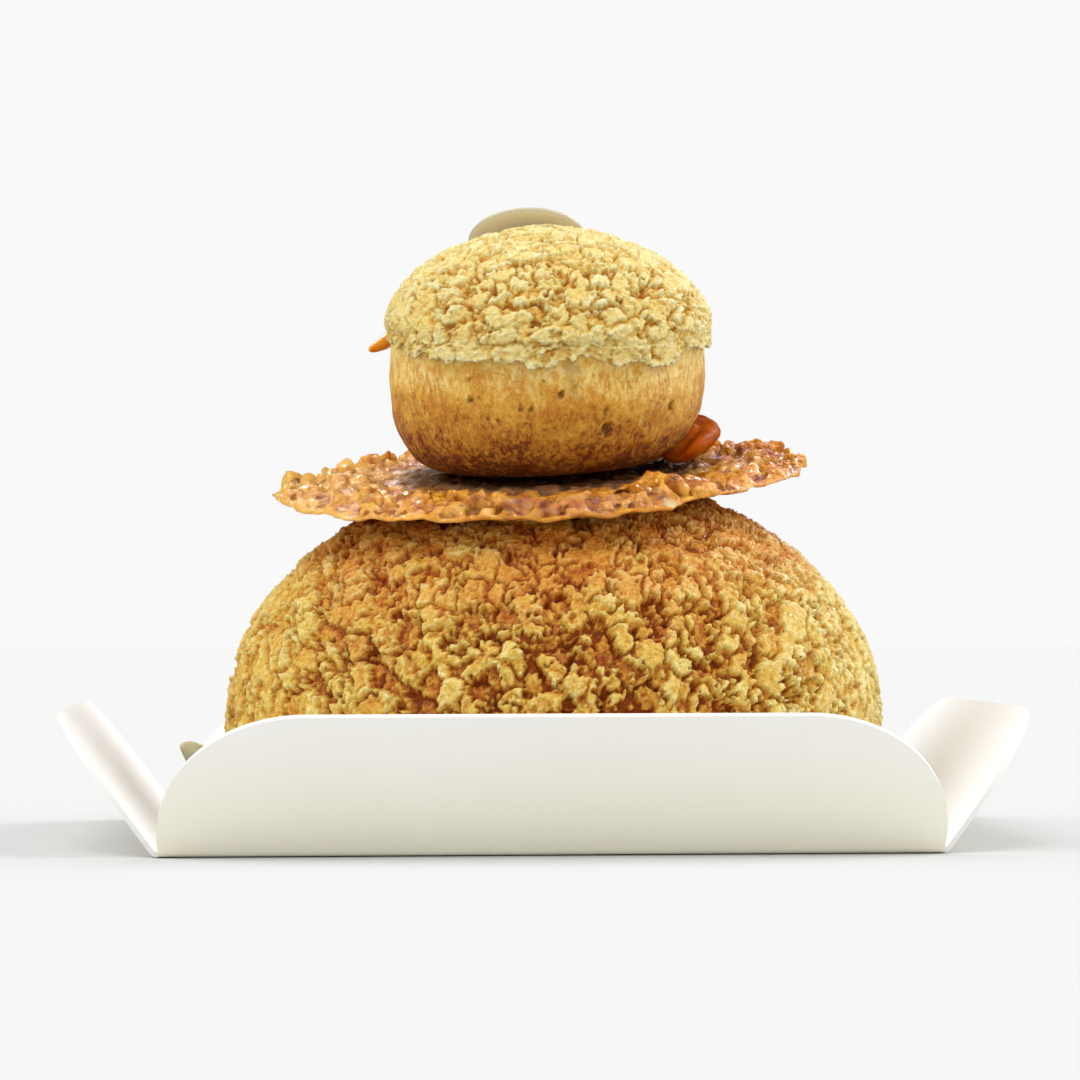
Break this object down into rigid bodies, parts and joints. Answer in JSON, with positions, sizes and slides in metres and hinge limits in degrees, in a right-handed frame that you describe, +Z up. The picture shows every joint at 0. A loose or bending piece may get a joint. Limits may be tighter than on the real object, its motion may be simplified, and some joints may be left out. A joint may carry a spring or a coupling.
{
  "type": "religieuse choux pastry",
  "caption": "Small choux bun on a caramel nut crisp on a large choux bun with a crackled biscuit crust, in a folded white card tray with rounded flaps.",
  "frame": {"origin": "middle of the card tray's underside", "axes": "+Z up, -Y to the side that the pastry is shown from, +X to its right"},
  "size_m": [0.0992, 0.0992, 0.0686],
  "materials": {
    "white_card": "smooth uncoated white card",
    "large_bun_crust": "crackled sugary biscuit crust, golden brown",
    "small_bun_crust": "pale crackled crust above bare golden choux",
    "nutty_caramel": "glossy amber caramel over chopped nuts",
    "caramel": "smooth glossy caramel",
    "blond_chocolate": "smooth satin chocolate",
    "pistachio": "dull grey-green with a yellowish skin edge"
  },
  "bodies": {
    "root": {"card_tray": "white_card", "large_choux_bun": "large_bun_crust", "caramel_nut_crisp": "nutty_caramel", "small_choux_bun": "small_bun_crust", "chocolate_disc": "blond_chocolate", "caramel_run": "caramel", "caramel_lump": "caramel", "pistachio_sliver": "pistachio"}
  },
  "joints": []
}
